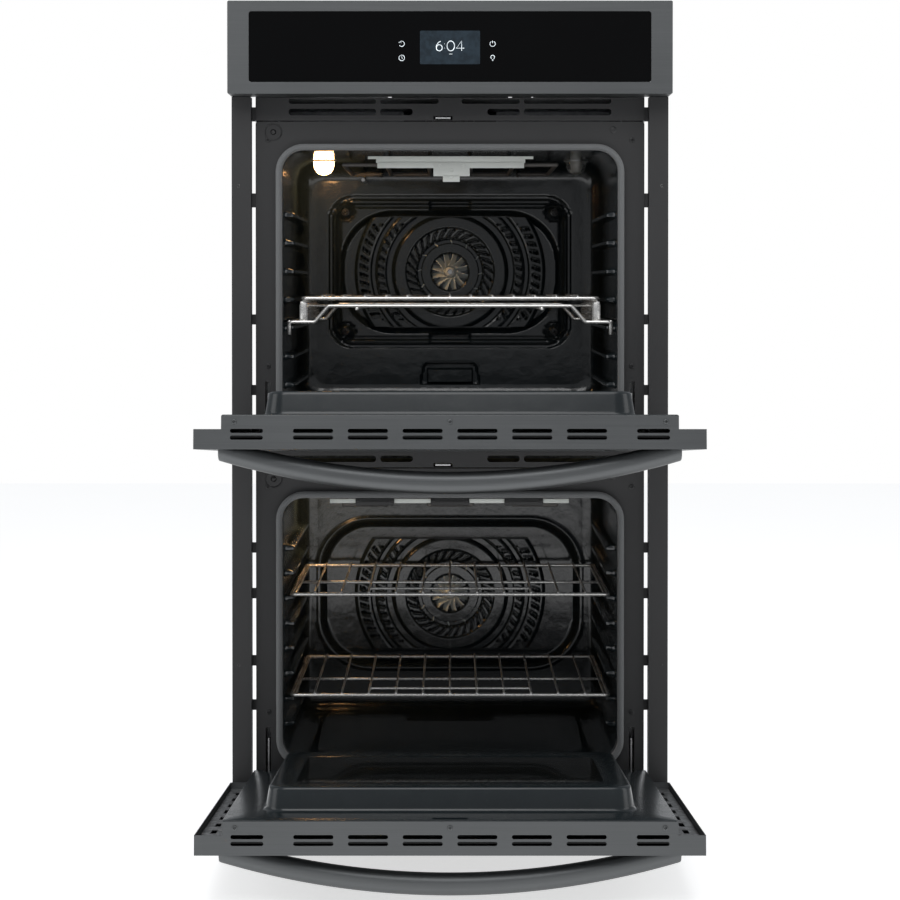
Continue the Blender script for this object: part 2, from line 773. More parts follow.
def cavity_shell(bm, oven):
    """One enamelled cavity, drawn from its mouth to its pressed rear."""
    given = sizes()
    node = f"{oven}_cavity"
    low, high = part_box(node)
    width = high.x - low.x - 2 * given.sheet
    height = high.z - low.z - 2 * given.sheet
    mid = (low.z + high.z) / 2
    rear = high.y - given.sheet
    bend = given.rear_bend
    proud = given.recess + REAR_PROUD
    start = low.y + 0.0004
    straight = rear - proud - bend
    rear_corner = given.mouth_corner * 0.6
    rungs = rung_levels(node)
    rung_ends = (low.y + RUNG_START, low.y + RUNG_END)

    def rung_push(z, y):
        reach = width / 2 - RUNG_CLEAR
        along = eased(rung_ends[0] - 0.004, rung_ends[0] + 0.006, y)
        along *= 1 - eased(rung_ends[1] - 0.010, rung_ends[1], y)
        tall = max(hump(z, (bottom + top) / 2, (top - bottom) / 2 - 0.002, 0.0035)
                   for bottom, top in rungs)
        return reach * along * tall

    edge = square_edge(STEPS_X, STEPS_Z)
    stations = {round(start + (straight - start) * step / 44, 5) for step in range(45)}
    for rung_end in rung_ends:
        stations |= {round(rung_end + shift * 0.001, 5) for shift in (-8, -4, -2, 0, 2, 4, 7)}
    levels = [(-0.008, start, given.mouth_corner + 0.008)]
    levels += [(0.0, y, given.mouth_corner) for y in sorted(stations) if start <= y <= straight]
    for step in range(1, 9):
        turn = step / 8 * math.pi / 2
        share = step / 8
        levels.append((bend * (1 - math.cos(turn)), straight + bend * math.sin(turn),
                       given.mouth_corner * (1 - share) + rear_corner * share))
    rings = []
    for inset, y, corner in levels:
        ring = []
        for u, v in edge:
            x, z = in_rounded(u, v, width - 2 * inset, height - 2 * inset, corner)
            if inset >= 0:
                if abs(u) == 1:
                    x -= math.copysign(rung_push(mid + z, y), x)
                elif v == -1:
                    z += floor_press(x, y - start, straight - start)
            ring.append(Vector((x, y, mid + z)))
        rings.append(ring)
    loft(bm, rings)
    cavity_rear(bm, oven, width - 2 * bend, height - 2 * bend, rear_corner, mid, rear)
    bmesh.ops.remove_doubles(bm, verts=bm.verts, dist=0.0002)


class OVEN_OT_cavities(bpy.types.Operator):
    """Makes both enamelled cavities with their rungs and pressed rears"""
    bl_idname = "oven.cavities"
    bl_label = "Cavities"

    def execute(self, context):
        for oven in OVENS:
            bm = bmesh.new()
            cavity_shell(bm, oven)
            piece(f"{oven}_porcelain", bm, "chassis", "cavity_enamel", (f"{oven}_cavity",))
        return {"FINISHED"}


# A fan cover's profile from its inlet outwards, as (radius, height) in millimetres.
COVER_PROFILE = (
    (31, 13), (32.5, 17.5), (35, 19), (49, 19), (51, 14), (56, 14), (58, 18.5), (61, 20),
    (76, 21.5), (79, 23.8), (96, 23.8), (100, 21), (103, 14), (111, 14), (114, 20.5),
    (117, 21.5), (127, 21.5), (130, 20), (132, 14), (137, 14), (140, 20), (143, 21),
    (163, 20.5), (168, 17),
)
# Its rings of louvres, in millimetres, and how much a slot leans with the radius.
COVER_RINGS = (
    {"middle": 67, "half": 6.0, "slots": 30, "slant": 0.055},
    {"middle": 121.5, "half": 4.0, "slots": 52, "slant": 0.03},
    {"middle": 151, "half": 6.0, "slots": 66, "slant": 0.03},
)
# Rings outside the first have louvres only up to the second above and below the inlet.
COVER_OPEN_RING = 100
COVER_CLOSED_FROM = 84
# Steps round a fan cover, and across its profile in millimetres.
COVER_SIDES = 560
COVER_STEP = 1.6


def cover_height(radius, angle, height):
    """Height of the fan cover at a place, with its louvres raised and cut."""
    mm = radius * 1000
    flat = abs(mm * math.sin(angle))
    for ring in COVER_RINGS:
        near = hump(mm, ring["middle"], ring["half"], 1.8)
        if near > 0 and (ring["middle"] < COVER_OPEN_RING or flat < COVER_CLOSED_FROM):
            phase = angle / math.tau * ring["slots"] + (mm - ring["middle"]) * ring["slant"]
            share = phase % 1.0
            lip = hump(share, 0.62, 0.04, 0.16)
            cut = hump(share, 0.36, 0.09, 0.05)
            height += near * (0.0012 * lip - 0.0075 * cut)
    return height


def fan_cover(bm, oven):
    """A pressed cover with rings round its inlet and louvres, cut flat above and below."""
    low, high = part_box(f"{oven}_fan_cover")
    mid = (low.z + high.z) / 2
    profile = []
    for (radius, height), (next_radius, next_height) in zip(COVER_PROFILE, COVER_PROFILE[1:]):
        parts = max(1, round((next_radius - radius) / COVER_STEP))
        profile += [(radius + (next_radius - radius) * part / parts,
                     height + (next_height - height) * part / parts) for part in range(parts)]
    profile.append(COVER_PROFILE[-1])
    profile = [(radius / 1000, height / 1000) for radius, height in profile]
    spin(bm, profile, facing_front(0.0, high.y, mid), COVER_SIDES, cover_height)
    for z, up in ((low.z, -1), (high.z, 1)):
        geometry = list(bm.verts) + list(bm.edges) + list(bm.faces)
        bmesh.ops.bisect_plane(bm, geom=geometry, plane_co=(0, 0, z), plane_no=(0, 0, up),
                               clear_outer=True)
    rim = [link for link in bm.edges if link.is_boundary]
    skirt = bmesh.ops.extrude_edge_only(bm, edges=rim)["geom"]
    for vert in (part for part in skirt if isinstance(part, bmesh.types.BMVert)):
        inlet = math.hypot(vert.co.x, vert.co.z - mid) < 0.05
        vert.co.y = vert.co.y + 0.003 if inlet else high.y


class OVEN_OT_fan_covers(bpy.types.Operator):
    """Makes the louvred covers over the convection fans"""
    bl_idname = "oven.fan_covers"
    bl_label = "Fan covers"

    def execute(self, context):
        for oven in OVENS:
            bm = bmesh.new()
            fan_cover(bm, oven)
            piece(f"{oven}_baffle", bm, "chassis", "cavity_enamel", (f"{oven}_fan_cover",))
        return {"FINISHED"}


# A fan's hub radius and disc thickness, and half a blade's thickness.
HUB = 0.010
DISC = 0.0012
BLADE_HALF = 0.0006
# How far a blade turns from hub to tip, in radians, and how far its free edge leans at the hub.
BLADE_SWEEP = 0.42
BLADE_LEAN = 0.0085


def fan_blade(bm, place, turn, radius, deep):
    """One swept blade, from the hub to near the disc's rim."""
    rings = []
    for step in range(9):
        share = step / 8
        reach = 0.0085 + (radius - 0.011) * share
        angle = turn + BLADE_SWEEP * share ** 1.5
        out = Vector((math.cos(angle), math.sin(angle), 0.0))
        across = Vector((-out.y, out.x, 0.0))
        lean = BLADE_LEAN * (1 - 0.35 * share)
        face = deep - 0.0012 - 0.003 * share
        corners = ((-BLADE_HALF, 0.001), (BLADE_HALF, 0.001), (lean + BLADE_HALF, face),
                   (lean - BLADE_HALF, face))
        rings.append([place @ (out * reach + across * sway + Vector((0, 0, z)))
                      for sway, z in corners])
    loft(bm, rings, caps=True)


class OVEN_OT_fans(bpy.types.Operator):
    """Makes the convection fans: a disc, a hub and swept blades"""
    bl_idname = "oven.fans"
    bl_label = "Convection fans"

    def execute(self, context):
        for oven in OVENS:
            node = f"{oven}_fan"
            low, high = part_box(node)
            radius = (high.x - low.x) / 2
            deep = high.y - low.y
            place = facing_front(0.0, high.y, middle_z(node))
            bm = bmesh.new()
            spin(bm, [(0.0042, 0), (radius, 0), (radius, 0.0008), (radius - 0.002, DISC),
                      (HUB, DISC)], place, 48)
            piece(f"{oven}_fan_disc", bm, body_of(node), "bright_steel", finish="cavity_enamel")
            bm = bmesh.new()
            spin(bm, [(HUB, DISC), (0.009, 0.003), (0.0088, deep - 0.003),
                      (0.0065, deep - 0.0006), (0.0045, deep)], place, 32)
            for blade in range(sizes().blades):
                fan_blade(bm, place, blade / sizes().blades * math.tau, radius, deep)
            piece(f"{oven}_fan_blades", bm, body_of(node), "bright_steel", (node,),
                  finish="bracket_steel")
        return {"FINISHED"}


# Height of the upper strip's top, and of the lower strip's underside, above their ovens' bases.
STRIP_TOP = 0.506
LOWER_STRIP = 0.4965
# The upper strip's blocks: X from and to, Y from and to, how far below its top each starts and
# ends, and the radius of its edges.
STRIP_BLOCKS = (
    (-0.118, 0.120, 0.0, 0.0015, 0.011, 0.0, 0.0005),
    (-0.131, -0.117, 0.0005, 0.002, 0.0045, 0.0, 0.0004),
    (0.119, 0.133, 0.0005, 0.002, 0.0045, 0.0, 0.0004),
    (-0.116, 0.118, -0.0016, 0.0, 0.019, 0.0095, 0.0005),
    (-0.0265, 0.0315, -0.0018, -0.0002, 0.032, 0.010, 0.001),
    (-0.0115, 0.0155, -0.0018, -0.0002, 0.041, 0.030, 0.001),
)
# The blocks of a clip on the lower strip: half width, Y from and to, Z from and to, edge radius.
CLIP_BLOCKS = (
    (0.031, -0.003, -0.0001, -0.0035, 0.0085, 0.0012),
    (0.022, -0.0042, -0.0029, 0.001, 0.004, 0.0005),
)
# Small turned parts, as (radius, height) from the middle outwards.
STRIP_RIVET = ((0.0, 0.0012), (0.0014, 0.001), (0.002, 0.0))
PLATE_SCREW = ((0.0, 0.0004), (0.0016, 0.0002), (0.0028, 0.0006), (0.0034, 0.0))
CLIP_SCREW = ((0.0, 0.0014), (0.002, 0.0012), (0.0028, 0.0))


class OVEN_OT_grills(bpy.types.Operator):
    """Makes the folded strips and clips that carry the grill heaters"""
    bl_idname = "oven.grills"
    bl_label = "Grill brackets"

    def execute(self, context):
        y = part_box("broil_brackets")[0].y + 0.002
        bm = bmesh.new()
        top = BASE["upper"] + STRIP_TOP
        for left, right, front, back, under, over, edge in STRIP_BLOCKS:
            block(bm, (left, y + front, top - under), (right, y + back, top - over), edge)
        for x in (-0.097, -0.052, 0.054, 0.099):
            spin(bm, STRIP_RIVET, facing_front(x, y - 0.0004, top - 0.0145), 16)
        for x, z in ((-0.016, 0.015), (0.021, 0.015), (0.002, 0.023), (0.002, 0.034)):
            spin(bm, PLATE_SCREW, facing_front(x, y - 0.0018, top - z), 16)
        strip = BASE["lower"] + LOWER_STRIP
        block(bm, (-0.192, y, strip), (0.190, y + 0.003, strip + 0.007), 0.0008)
        piece("grill_strips", bm, "chassis", "bright_steel", ("broil_brackets",),
              finish="bracket_steel")
        bm = bmesh.new()
        for x in (-0.120, 0.0, 0.118):
            for half, front, back, under, over, edge in CLIP_BLOCKS:
                block(bm, (x - half, y + front, strip + under), (x + half, y + back, strip + over),
                      edge)
            for side in (-1, 1):
                spin(bm, CLIP_SCREW, facing_front(x + side * 0.027, y - 0.003, strip + 0.0035), 16)
        piece("grill_clips", bm, "chassis", "dark_fitting")
        return {"FINISHED"}


# A lens's radius, its radius at the foot, and the rise and number of its ribs.
LENS_RADIUS = 0.0175
LENS_FOOT = 0.0172
RIB = 0.0007
RIBS = 12
LENS_PROFILE = (
    (LENS_FOOT, 0.0), (LENS_RADIUS, 0.004), (0.0172, 0.010), (0.0155, 0.016), (0.0120, 0.0212),
    (0.0070, 0.0244), (0.0, 0.0262),
)
COLLAR_PROFILE = (
    (0.0178, 0.0), (0.0178, 0.003), (0.0205, 0.0036), (0.0215, 0.002), (0.0215, 0.0),
)
# Turns a spun shape's axis down from a cavity's ceiling.
HANGING = Matrix.Rotation(math.pi, 4, "X")


class OVEN_OT_lamps(bpy.types.Operator):
    """Makes the ribbed lamp lenses, lit at the left of each oven"""
    bl_idname = "oven.lamps"
    bl_label = "Lamps"

    def execute(self, context):
        low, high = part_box("lamp_lenses")
        reach = high.x - LENS_RADIUS
        y = (low.y + high.y) / 2
        tops = {"upper": high.z, "lower": high.z - PITCH}

        def ribbed(radius, angle, height):
            share = min(radius / LENS_FOOT, 1.0)
            return height - RIB * math.cos(angle * RIBS) * share * (height > 0)

        kinds = ((-1, "lit_lenses", "lit_lens"), (1, "clear_lenses", "lamp_glass"))
        for side, name, finish in kinds:
            bm = bmesh.new()
            for oven in OVENS:
                place = Matrix.Translation((side * reach, y, tops[oven]))
                spin(bm, LENS_PROFILE, place @ HANGING, 72, ribbed)
            replaced = ("lamp_lenses",) if side < 0 else ()
            piece(name, bm, "chassis", "lamp_glass", replaced, finish=finish)
        bm = bmesh.new()
        for oven in OVENS:
            for side in (-1, 1):
                place = Matrix.Translation((side * reach, y, tops[oven] + 0.0005))
                spin(bm, COLLAR_PROFILE, place @ HANGING, 48)
        piece("lamp_collars", bm, "chassis", "lamp_socket", finish="bright_steel")
        for oven in OVENS:
            light = bpy.data.lights.new(f"{oven}_oven_lamp", "POINT")
            light.energy = context.scene.oven_stage.lamp
            light.color = tuple(colours().glow)
            light.shadow_soft_size = 0.012
            bulb = bpy.data.objects.new(f"{oven}_oven_lamp", light)
            bulb.location = (-reach, y - 0.004, tops[oven] - 0.045)
            bulb.visible_glossy = False
            context.scene.collection.objects.link(bulb)
        return {"FINISHED"}


# A seal's two sides, as (place out from the mouth, place proud of the frame).
SEAL_INNER = ((0.0010, 0.0), (0.0004, 0.004), (0.0006, 0.009))
SEAL_OUTER = ((0.0094, 0.009), (0.0096, 0.004), (0.0090, 0.0))


class OVEN_OT_seals(bpy.types.Operator):
    """Makes the knitted seals round the cavities' mouths"""
    bl_idname = "oven.seals"
    bl_label = "Door seals"

    def execute(self, context):
        given = sizes()
        low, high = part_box("upper_cavity")
        width = high.x - low.x - 2 * given.sheet
        height = high.z - low.z - 2 * given.sheet
        section = list(SEAL_INNER)
        for step in range(9):
            turn = math.pi - step / 8 * math.pi
            section.append((0.005 + 0.0048 * math.cos(turn), 0.013 + 0.0049 * math.sin(turn)))
        section += SEAL_OUTER
        bm = bmesh.new()
        for oven in OVENS:
            mid = middle_z(f"{oven}_cavity")
            rings = []
            for out, proud in section:
                ring = rounded_ring(width + 2 * out, height + 2 * out, given.mouth_corner + out, 12)
                rings.append([Vector((x, FRONT - 0.0002 - proud, mid + z)) for x, z in ring])
            loft(bm, rings, wrap=True)
        piece("knitted_seals", bm, "chassis", "gasket", ("door_gaskets",))
        return {"FINISHED"}


# ---------- racks ----------

def deck_wire(bm, x, near, far, foot, over, radius):
    """A wire that crosses a rack over its frame; foot is how far out and how high its ends are."""
    out, z = foot
    route = [(x, near - out, z), (x, near + 0.0005, over), (x, far - 0.0005, over),
             (x, far + out, z)]
    tube(bm, bent(route, 0.004), radius)


# From a flat rack's near edge to its crossbar and to its grab wire.
CROSSBAR = 0.152
GRAB = 0.030


class OVEN_OT_flat_racks(bpy.types.Operator):
    """Makes the two flat wire racks of the lower oven"""
    bl_idname = "oven.flat_racks"
    bl_label = "Flat racks"

    def execute(self, context):
        given = sizes()
        wire, cross, bend = given.wire, given.cross_wire, given.wire_bend
        for node in ("lower_rack_top", "lower_rack_bottom"):
            low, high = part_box(node)
            side = high.x - wire
            near = low.y + wire
            far = high.y - wire
            z = low.z + wire
            over = z + wire + cross - 0.0005
            bm = bmesh.new()
            outline = [(-side, near, z), (side, near, z), (side, far, z), (-side, far, z)]
            tube(bm, bent(outline, bend, closed=True), wire, closed=True)
            for end in (-1, 1):
                x = end * (side - bend)
                tube(bm, bent([(x, near, z), (x, far, z)], bend), cross)
            step = (side + wire - 0.018) * 2.18 / (given.cross_wires + 1)
            half = (given.cross_wires - 1) // 2
            for number in range(-half, half + 1):
                deck_wire(bm, number * step, near, far, (0.0016, z + 0.0012), over, cross)
            middle = near + CROSSBAR
            tube(bm, bent([(-side, middle, z), (side, middle, z)], bend), wire * 0.8)
            grab = near + GRAB
            reach = 3 * step
            bar = over + cross * 0.6
            route = [(-reach, grab - 0.006, z + wire), (-reach, grab, bar), (reach, grab, bar),
                     (reach, grab - 0.006, z + wire)]
            tube(bm, bent(route, 0.006), wire * 0.72)
            piece(f"{node}_wires", bm, body_of(node), "rack_chrome", (node,))
        return {"FINISHED"}


# Half the glide rack's width between its side wires, and the step between its cross wires.
GLIDE_HALF = 0.233
GLIDE_STEP = 0.0336
# X of its runners, how far behind its near wire they end, and how long its carriage is.
RUNNER_X = 0.232
RUNNER_END = 0.348
CARRIAGE = 0.336
# Section of the channel that a runner slides in, as (across, up).
CHANNEL = (
    (-0.006, 0.0025), (0.006, 0.0025), (0.006, 0.0275), (0.0022, 0.0275), (0.0022, 0.0263),
    (0.0048, 0.0263), (0.0048, 0.0037), (-0.0048, 0.0037), (-0.0048, 0.0263), (-0.0022, 0.0263),
    (-0.0022, 0.0275), (-0.006, 0.0275),
)


class OVEN_OT_glide_rack(bpy.types.Operator):
    """Makes the upper oven's glide rack and the wire carriage that it runs on"""
    bl_idname = "oven.glide_rack"
    bl_label = "Glide rack"

    def execute(self, context):
        given = sizes()
        wire, cross = given.wire, given.cross_wire
        low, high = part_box("upper_glide_rack")
        side = GLIDE_HALF
        near = low.y + wire
        far = high.y - wire
        deck = high.z - 2 * cross - wire + 0.0008
        bm = bmesh.new()
        outline = [(-side, near, deck), (side, near, deck), (side, far, deck), (-side, far, deck)]
        tube(bm, bent(outline, 0.008, closed=True), wire, closed=True)
        over = deck + wire + cross - 0.0006
        for number in range(-6, 7):
            deck_wire(bm, number * GLIDE_STEP, near, far, (0.0014, deck + 0.0014), over, cross)
        for share in (0.33, 0.66):
            y = near + (far - near) * share
            tube(bm, bent([(-side, y, deck), (side, y, deck)], 0.01), cross * 1.2)
        for end in (-1, 1):
            x = end * RUNNER_X
            block(bm, (x - 0.0042, near + 0.011, low.z + 0.001),
                  (x + 0.0042, near + RUNNER_END, low.z + 0.0195))
            block(bm, (x - 0.0016, near + 0.011, low.z + 0.019),
                  (x + 0.0016, near + RUNNER_END, deck))
            block(bm, (x - 0.0049, near + 0.0065, low.z),
                  (x + 0.0049, near + 0.0112, low.z + 0.029), 0.001)
        piece("glide_rack_wires", bm, body_of("upper_glide_rack"), "rack_chrome",
              ("upper_glide_rack",))
        low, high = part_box("upper_rack_support")
        side = high.x - wire
        near = low.y + 0.005
        top = high.z - 0.002
        seat = top - 0.0255
        bm = bmesh.new()
        for y, foot in ((near, low.z), (near + CARRIAGE, seat)):
            outline = [(-side, y, foot), (-side, y, seat), (-0.214, y, seat), (-0.192, y, top),
                       (0.192, y, top), (0.214, y, seat), (side, y, seat), (side, y, foot)]
            if foot == seat:
                outline = outline[1:-1]
            tube(bm, bent(outline, 0.006), wire)
        for end in (-1, 1):
            tube(bm, bent([(end * side, near, seat), (end * side, near + CARRIAGE, seat)], 0.01),
                 wire)
            x = end * RUNNER_X
            rings = [[Vector((x + across, near + along, seat + up)) for across, up in CHANNEL]
                     for along in (0.010, 0.012, 0.180, 0.346, RUNNER_END)]
            loft(bm, rings, caps=True)
        for x in (-0.147, 0.145):
            tube(bm, bent([(x, near - 0.003, top - 0.0046), (x, near + 0.339, top - 0.0046)], 0.01),
                 wire * 0.9)
        for y in (near + 0.113, near + 0.226):
            tube(bm, bent([(-0.227, y, top - 0.001), (0.227, y, top - 0.001)], 0.01), cross)
        piece("rack_carriage", bm, "chassis", "rack_chrome", ("upper_rack_support",))
        return {"FINISHED"}


# ---------- doors ----------

# Middle of a door's plug above its oven's base, and how far the plug stands proud of the border.
PLUG_UP = 0.3045
PLUG_PROUD = 0.034
# Sheet of a liner, and the flat border round its window.
LINER_SHEET = 0.0012
WINDOW_BORDER = 0.016
# X of the hinge slots, half their width, and half the width of the lock's slot.
HINGE_X = 0.286
HINGE_SLOT = 0.0042
LOCK_SLOT = 0.024
# A handle's section measured through the door, and what is left of it at the ends.
HANDLE_THICK = 0.030
HANDLE_END = 0.015


def door_liner(bm, oven):
    """The enamelled inner liner: a flat border, a raised plug and a stepped window."""
    given = sizes()
    low, high = shut_box(f"{oven}_door_liner", oven)
    wide = high.x - low.x
    tall = high.z - low.z
    mid = (low.z + high.z) / 2
    plug_mid = BASE[oven] + PLUG_UP
    face = high.y - PLUG_PROUD
    peak = high.y
    thick = LINER_SHEET
    plug_w, plug_h, corner = given.plug_width, given.plug_height, given.plug_corner
    win_w, win_h = given.window_width, given.window_height

    def ring(width, height, round_off, y, centre):
        return [Vector((x, y, centre + z)) for x, z in rounded_ring(width, height, round_off, 10)]

    rings = [
        ring(wide, tall, 0.004, low.y, mid),
        ring(wide, tall, 0.004, face - 0.0015, mid),
        ring(wide - 0.0008, tall - 0.0008, 0.004, face - 0.0005, mid),
        ring(wide - 0.0026, tall - 0.0026, 0.005, face, mid),
    ]
    for step in range(7):
        turn = step / 6 * math.pi / 2
        out = 0.006 * (1 - math.sin(turn))
        rise = 0.006 * (1 - math.cos(turn))
        rings.append(ring(plug_w + 2 * out, plug_h + 2 * out, corner + out, face + rise, plug_mid))
    for step in range(7):
        turn = step / 6 * math.pi / 2
        inset = 0.004 + 0.005 * (1 - math.cos(turn))
        rise = 0.005 * (1 - math.sin(turn))
        rings.append(ring(plug_w - 2 * inset, plug_h - 2 * inset, corner - 0.004, peak - rise,
                          plug_mid))
    border = WINDOW_BORDER
    lip = ((border, 0.0, 0.022), (border - 0.004, -0.0012, 0.020), (border - 0.007, -0.003, 0.018),
           (0.004, -0.0034, 0.017), (0.0015, -0.0042, 0.0165), (0.0, -0.006, 0.016))
    for out, rise, round_off in lip:
        rings.append(ring(win_w + 2 * out, win_h + 2 * out, round_off, peak + rise, plug_mid))
    rings += [
        ring(win_w + 2 * thick, win_h + 2 * thick, 0.016, peak - 0.006, plug_mid),
        ring(plug_w - 0.020, plug_h - 0.020, corner - 0.006, peak - 0.0062, plug_mid),
        ring(plug_w - 2 * thick - 0.004, plug_h - 2 * thick - 0.004, corner - 0.004,
             face - thick, plug_mid),
        ring(wide - 2 * thick - 0.002, tall - 2 * thick - 0.002, 0.003, face - 0.0025, mid),
        ring(wide - 2 * thick, tall - 2 * thick, 0.003, low.y, mid),
    ]
    loft(bm, rings, wrap=True)


def cut_slots(made, cutters):
    """Cuts boxes out of a piece, and leaves the result in its mesh."""
    bm = bmesh.new()
    for low, high in cutters:
        block(bm, low, high, 0.0004)
    mesh = bpy.data.meshes.new("slot_cutter")
    bm.to_mesh(mesh)
    bm.free()
    tool = bpy.data.objects.new("slot_cutter", mesh)
    bpy.context.scene.collection.objects.link(tool)
    change = made.modifiers.new("slots", "BOOLEAN")
    change.operation = "DIFFERENCE"
    change.solver = "EXACT"
    change.object = tool
    bpy.context.view_layer.update()
    graph = bpy.context.evaluated_depsgraph_get()
    result = bpy.data.meshes.new_from_object(made.evaluated_get(graph))
    made.modifiers.clear()
    made.data = result
    bpy.data.objects.remove(tool)


class OVEN_OT_liners(bpy.types.Operator):
    """Makes the pressed liners of both doors, slotted for the hinges and the lock"""
    bl_idname = "oven.liners"
    bl_label = "Door liners"

    def execute(self, context):
        for oven in OVENS:
            node = f"{oven}_door_liner"
            low, high = shut_box(node, oven)
            bm = bmesh.new()
            door_liner(bm, oven)
            made = piece(f"{oven}_liner_pressing", bm, body_of(node), "liner_enamel", (node,))
            face = high.y - PLUG_PROUD
            cutters = [((x - HINGE_SLOT, low.y - 0.01, low.z - 0.01),
                        (x + HINGE_SLOT, face + 0.002, PIVOT[oven].z + 0.011))
                       for x in (-HINGE_X, HINGE_X)]
            cutters.append(((-LOCK_SLOT, face - 0.006, high.z - 0.0247),
                            (LOCK_SLOT, face + 0.002, high.z - 0.0097)))
            cut_slots(made, cutters)
            bm = bmesh.new()
            bm.from_mesh(made.data)
            swing_open(bm, oven)
            bm.to_mesh(made.data)
            bm.free()
        return {"FINISHED"}


class OVEN_OT_handles(bpy.types.Operator):
    """Makes the bowed handles, whose ends lie flat on the doors"""
    bl_idname = "oven.handles"
    bl_label = "Handles"

    def execute(self, context):
        for oven in OVENS:
            node = f"{oven}_handle"
            low, high = shut_box(node, oven)
            half = high.x
            tall = high.z - low.z
            mid = (low.z + high.z) / 2
            thick = HANDLE_THICK
            sag = (high.y - low.y) - HANDLE_END
            bow = (half * half + sag * sag) / (2 * sag)
            bm = bmesh.new()
            rings = []
            count = 72
            ends = ((1.0, 0.0016), (0.9985, 0.0006), (0.9955, 0.0))
            places = [(-place, inset) for place, inset in ends]
            places += [(2 * step / count - 1, 0.0) for step in range(1, count)]
            places += [(place, inset) for place, inset in reversed(ends)]
            for place, inset in places:
                x = place * half
                crest = low.y + bow - math.sqrt(bow * bow - x * x)
                section = rounded_ring(thick - 2 * inset, tall - 2 * inset, 0.0125 - inset, 7)
                rings.append([Vector((x, min(crest + thick / 2 + y, high.y), mid + z))
                              for y, z in section])
            loft(bm, rings, caps=True)
            swing_open(bm, oven)
            piece(f"{oven}_handle_bar", bm, body_of(node), "black_stainless", (node,), crease=50.0)
        return {"FINISHED"}


# ---------- screws, switches and marks ----------

def cross_head(bm, place, radius, rise, slot=0.6):
    """A domed screw head with a cross recess."""

    def pressed(spot, angle, height):
        across = min(abs(spot * math.sin(angle)), abs(spot * math.cos(angle)))
        inside = (1 - eased(radius * 0.10, radius * 0.20, across))
        inside *= 1 - eased(radius * (slot - 0.1), radius * slot, spot)
        return height - rise * 0.9 * inside

    profile = [(0.0, rise)]
    profile += [(radius * step / 12, rise * (1 - 0.35 * (step / 12) ** 2))
                for step in range(1, 12)]
    profile += [(radius * 0.97, rise * 0.45), (radius, rise * 0.2), (radius, 0.0)]
    spin(bm, profile, place, 48, pressed)


# Places of the screws and of the blind plug in each oven's front frame.
FRAME_SCREW_X = 0.2855
FRAME_SCREW_UP = (0.1732, 0.528)
BLIND_X = 0.2558
BLIND_UP = 0.544
# Place of each oven's door switch.
SWITCH_X = -0.277
SWITCH_UP = 0.5405
# Places of the screws in the side trims.
TRIM_SCREW_X = 0.331
TRIM_SCREW_UP = (0.25, 1.0)
# X of the screws in a door's upper edge, and how far they stand behind its face.
DOOR_SCREW_X = 0.2887
DOOR_SCREW_BACK = 0.0368
# Small turned parts, as (radius, height) from the middle outwards.
BLIND_PLUG = ((0.0, 0.0011), (0.003, 0.0010), (0.0047, 0.0006), (0.0055, 0.0))
SWITCH_BEZEL = (
    (0.0036, 0.0006), (0.0046, 0.0016), (0.0118, 0.0016), (0.0124, 0.0009), (0.0134, 0.0013),
    (0.0138, 0.0),
)
TRIM_PLUG = ((0.0, 0.0), (0.0015, -0.0001), (0.0023, -0.0004), (0.0023, -0.0010))
SWITCH_TIP = (
    (0.0, 0.0032), (0.0022, 0.0031), (0.0032, 0.0024), (0.0034, 0.0012), (0.0034, -0.0185),
)


class OVEN_OT_screws(bpy.types.Operator):
    """Makes the screws, blind plugs and switch bezels"""
    bl_idname = "oven.screws"
    bl_label = "Screws and plugs"

    def execute(self, context):
        bm = bmesh.new()
        for oven in OVENS:
            base = BASE[oven]
            for side in (-1, 1):
                for up in FRAME_SCREW_UP:
                    place = facing_front(side * FRAME_SCREW_X, FRONT, base + up)
                    cross_head(bm, place, 0.0042, 0.0018)
            spin(bm, BLIND_PLUG, facing_front(BLIND_X, FRONT, base + BLIND_UP), 32)
            spin(bm, SWITCH_BEZEL, facing_front(SWITCH_X, FRONT, base + SWITCH_UP), 48)
        piece("frame_screws", bm, "chassis", "dark_fitting", ("frame_fittings",))
        bm = bmesh.new()
        trim_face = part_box("left_side_trim")[0].y
        for side in (-1, 1):
            for z in TRIM_SCREW_UP:
                spin(bm, TRIM_PLUG, facing_front(side * TRIM_SCREW_X, trim_face - 0.0002, z), 32)
        piece("trim_screw_plugs", bm, "chassis", "dark_fitting", finish="frame_enamel")
        for oven in OVENS:
            node = f"{oven}_switch"
            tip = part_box(node)[0].y + SWITCH_TIP[0][1]
            bm = bmesh.new()
            spin(bm, SWITCH_TIP, facing_front(SWITCH_X, tip, middle_z(node)), 32)
            piece(f"{oven}_switch_tip", bm, body_of(node), "dark_fitting", (node,))
            node = f"{oven}_door_screws"
            low, high = shut_box(f"{oven}_door_skin", oven)
            bm = bmesh.new()
            for x in (-DOOR_SCREW_X, 0.0, DOOR_SCREW_X):
                place = Matrix.Translation((x, low.y + DOOR_SCREW_BACK, high.z))
                cross_head(bm, place, 0.0037, 0.0016)
            swing_open(bm, oven)
            piece(f"{oven}_door_screw_heads", bm, body_of(node), "black_stainless", (node,))
        bm = bmesh.new()
        fan_z = middle_z("upper_fan_cover")
        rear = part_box("upper_cavity")[1].y - sizes().sheet - sizes().recess - 0.0035
        for side in (-1, 1):
            for up in (-1, 1):
                place = facing_front(side * BOSS_X, rear, fan_z + up * BOSS_UP)
                cross_head(bm, place, 0.0062, 0.003)
        piece("rear_wall_screws", bm, "chassis", "dark_fitting")
        return {"FINISHED"}


def stroke(bm, middle, points, size, radius):
    """A lit stroke on the control glass, drawn in X and Z about a middle."""
    route = [Vector((middle[0] + x * size, middle[1], middle[2] + z * size)) for x, z in points]
    tube(bm, route, radius, sides=8)


